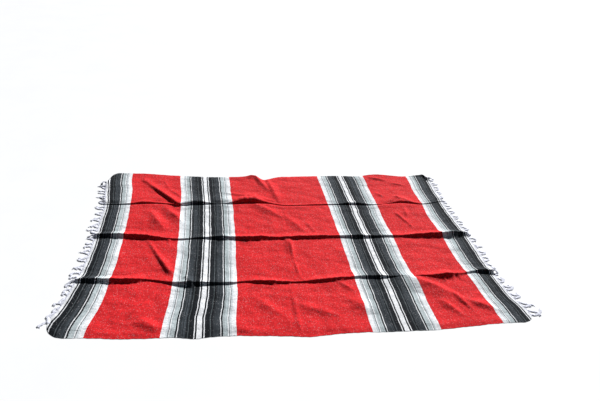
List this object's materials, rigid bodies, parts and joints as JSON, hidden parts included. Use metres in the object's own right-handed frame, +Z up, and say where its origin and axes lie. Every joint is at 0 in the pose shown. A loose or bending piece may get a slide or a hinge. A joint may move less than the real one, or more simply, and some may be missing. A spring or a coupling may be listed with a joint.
{
  "type": "picnic blanket",
  "caption": "Woven picnic blanket with cross stripes, laid out flat with its fold creases, and a knotted fringe on both short ends.",
  "frame": {"origin": "middle of the blanket's footprint, on the ground that it lies on", "axes": "+X along the blanket's length towards its right fringe, +Y across it towards the far long edge, +Z up"},
  "size_m": [2.0002, 1.349, 0.0267],
  "materials": {
    "woven_cloth": "coarse plain weave, red with white, grey and black cross stripes, matt",
    "fringe_yarn": "twisted white cotton yarn, knotted, matt"
  },
  "bodies": {
    "root": {"blanket": "woven_cloth", "fringe_left": "fringe_yarn", "fringe_right": "fringe_yarn"}
  },
  "joints": []
}
